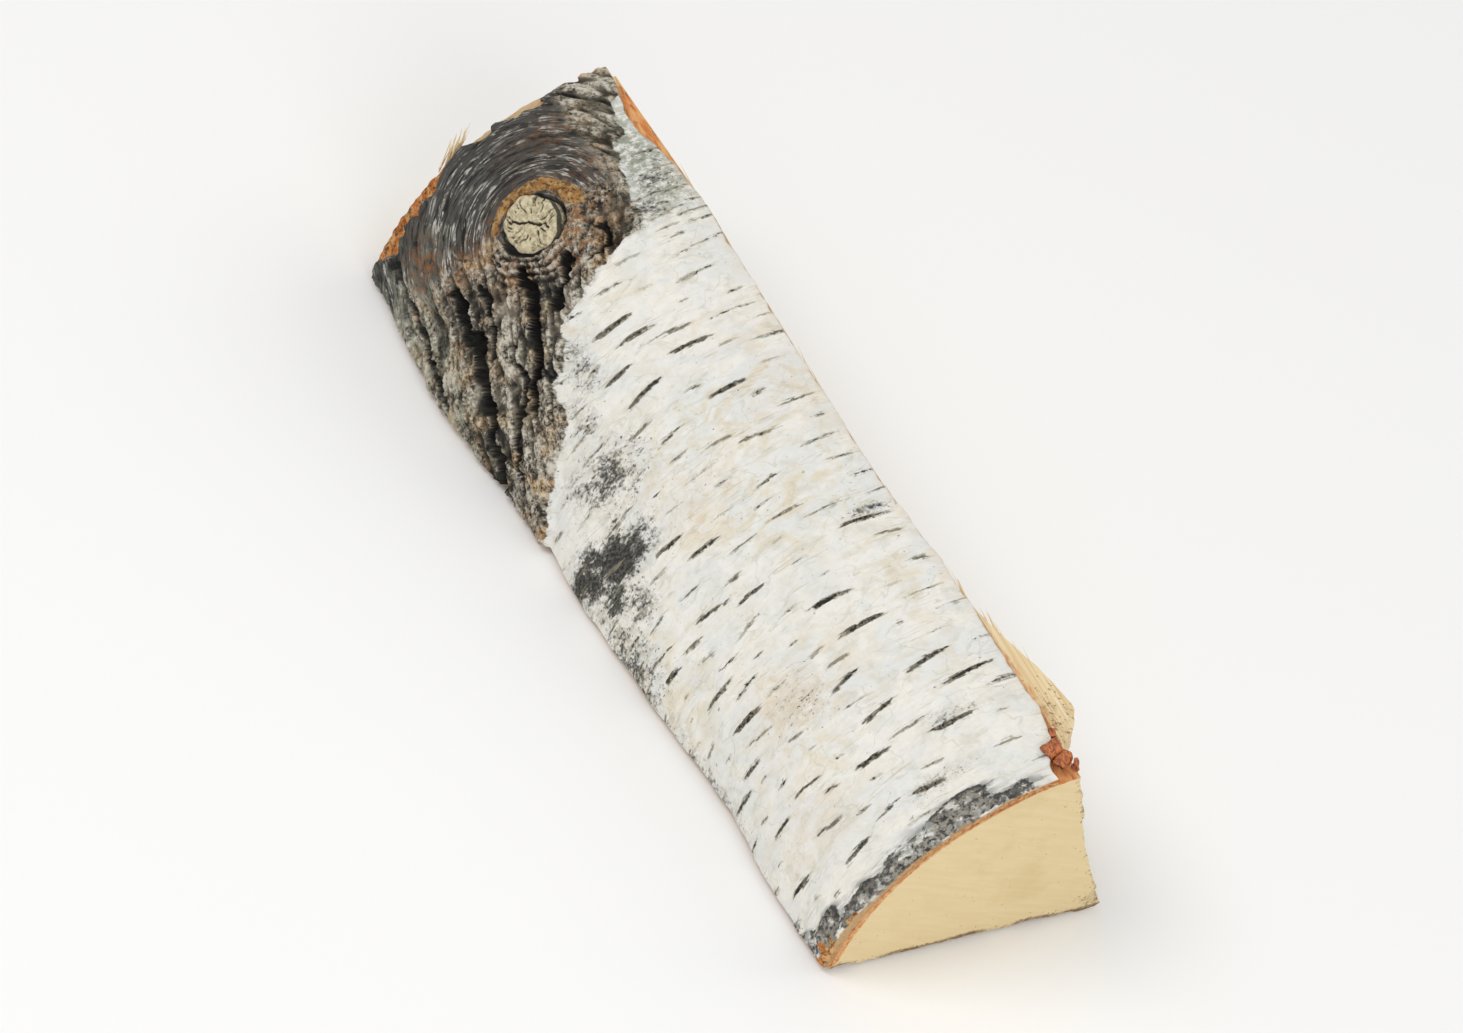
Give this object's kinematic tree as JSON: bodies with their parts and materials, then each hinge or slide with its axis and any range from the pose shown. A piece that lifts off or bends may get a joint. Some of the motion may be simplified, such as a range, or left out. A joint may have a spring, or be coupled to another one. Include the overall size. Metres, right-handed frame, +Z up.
{
  "type": "split wood log",
  "caption": "Split birch firewood log, wedge-shaped in section, with pale wood, white bark with dark rough bark round a dead branch's stub, and one clean sawn end.",
  "frame": {"origin": "centre of the box's underside: the log lies on its lower split face", "axes": "+X along the grain, from the knot end to the clean sawn end; +Z up; the bark faces -Y and +Z, and the pith edge is at +Y"},
  "size_m": [0.25, 0.0974, 0.0677],
  "materials": {
    "wood": "bare pale birch, sawn on the ends and torn along the grain on the split faces",
    "bark": "matte chalky white birch bark with dark dashes, charcoal and fissured round the knot"
  },
  "bodies": {
    "root": {"wood": "wood", "bark": "bark"}
  },
  "joints": []
}
